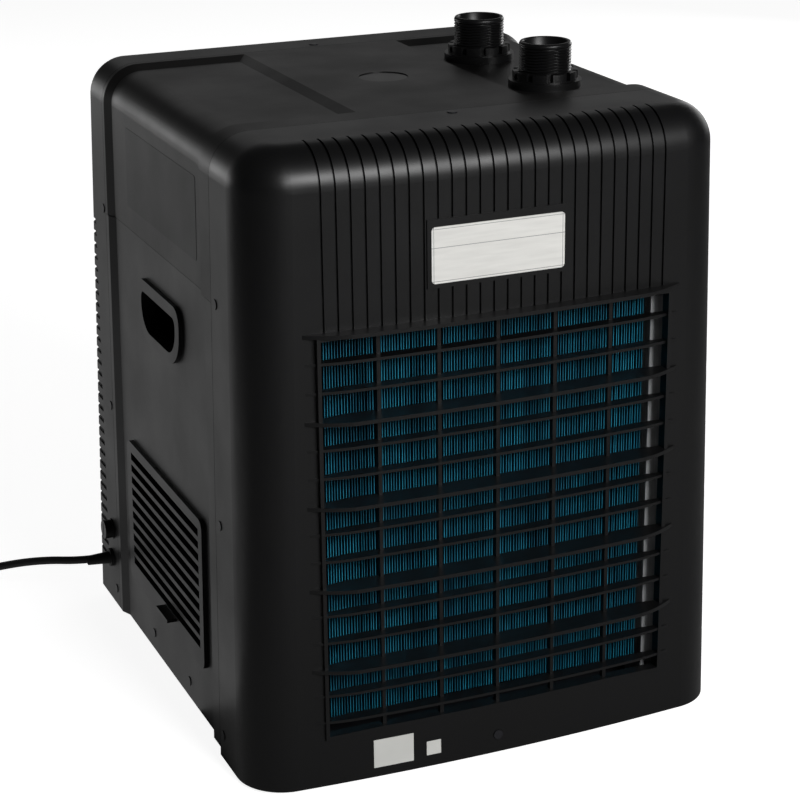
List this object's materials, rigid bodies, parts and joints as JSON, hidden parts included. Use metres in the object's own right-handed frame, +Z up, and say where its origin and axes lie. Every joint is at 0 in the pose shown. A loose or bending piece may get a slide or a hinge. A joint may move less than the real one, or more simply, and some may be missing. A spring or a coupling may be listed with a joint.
{
  "type": "water chiller",
  "caption": "Cabinet water chiller with a slatted air inlet, hand holes, side vents and threaded hose fittings on top.",
  "frame": {"origin": "on the floor, under the middle of the housing", "axes": "+Z up; -Y towards the side with the air inlet grille; -X towards the side with the power lead"},
  "size_m": [0.6632, 0.4915, 0.537],
  "materials": {
    "black_housing": "fine satin grain",
    "black_steel": "satin",
    "black_rubber": "matt",
    "black_fitting": "smooth",
    "plate_foil": "satin foil",
    "sticker": "paper",
    "dark_sticker": "gloss",
    "teal_fin": "thin blue-green coating on aluminium",
    "galvanised": "galvanised",
    "copper": "copper",
    "titanium": "titanium",
    "grey_plastic": "matt",
    "fan_plastic": "matt",
    "compressor_paint": "gloss black",
    "lens": "smoked",
    "board": "circuit board",
    "key_plastic": "matt",
    "pin_metal": "nickel-plated",
    "lead_sheath": "satin"
  },
  "bodies": {
    "housing": {"front_cover": "black_housing", "top_cover": "black_housing", "left_side_panel": "black_housing", "right_side_panel": "black_housing", "rear_cover": "black_housing", "base_plate": "black_steel", "feet": "black_rubber", "front_cover_screws": "black_steel", "panel_screws": "black_steel", "rear_cover_screws": "black_steel", "rating_plate": "plate_foil", "front_stickers": "sticker", "side_label": "dark_sticker", "inlet_fitting": "black_fitting", "outlet_fitting": "black_fitting", "inlet_lock_ring": "black_fitting", "outlet_lock_ring": "black_fitting", "inlet_gasket": "black_rubber", "outlet_gasket": "black_rubber", "inlet_hose": "black_rubber", "outlet_hose": "black_rubber", "heat_exchanger_tank": "grey_plastic", "tank_lid": "grey_plastic", "temperature_probe": "galvanised", "evaporator_coil": "titanium", "tank_strap": "galvanised", "condenser_fins": "teal_fin", "condenser_end_plates": "galvanised", "condenser_return_bends": "copper", "fan_shroud": "galvanised", "fan_bracket": "galvanised", "fan_motor": "compressor_paint", "compressor": "compressor_paint", "compressor_mounts": "black_rubber", "compressor_terminal_cover": "fan_plastic", "discharge_line": "copper", "liquid_line": "copper", "filter_drier": "copper", "capillary_tube": "copper", "suction_line": "copper", "controller_fascia": "key_plastic", "display_lens": "lens", "control_board": "board", "controller_box": "fan_plastic", "fuse_holder": "black_fitting", "cord_gland": "black_rubber", "gland_nut": "black_fitting", "power_cord": "lead_sheath", "cord_coil": "lead_sheath", "plug_body": "lead_sheath", "plug_pins": "pin_metal"},
    "fan": {"fan_rotor": "fan_plastic", "fan_shaft": "galvanised"},
    "fuse_carrier": {"fuse_cap": "black_fitting"},
    "set_key": {"set_button": "key_plastic"},
    "up_key": {"up_button": "key_plastic"},
    "down_key": {"down_button": "key_plastic"}
  },
  "joints": [
    {"name": "fan_spin", "type": "hinge", "parent": "housing", "child": "fan", "pos_m": [0, -0.102, 0.2015], "axis": [0, 1, 0], "continuous": true},
    {"name": "fuse_cap_turn", "type": "hinge", "parent": "housing", "child": "fuse_carrier", "pos_m": [-0.2034, 0.1745, 0.081], "axis": [-0.9998, 0, 0.0204], "range_deg": [0, 90]},
    {"name": "set_key_press", "type": "slide", "parent": "housing", "child": "set_key", "axis": [0, -0.9988, -0.0494], "range_m": [0, 0.0012], "stiffness_N_per_m": 400},
    {"name": "up_key_press", "type": "slide", "parent": "housing", "child": "up_key", "axis": [0, -0.9988, -0.0494], "range_m": [0, 0.0012], "stiffness_N_per_m": 400},
    {"name": "down_key_press", "type": "slide", "parent": "housing", "child": "down_key", "axis": [0, -0.9988, -0.0494], "range_m": [0, 0.0012], "stiffness_N_per_m": 400}
  ]
}
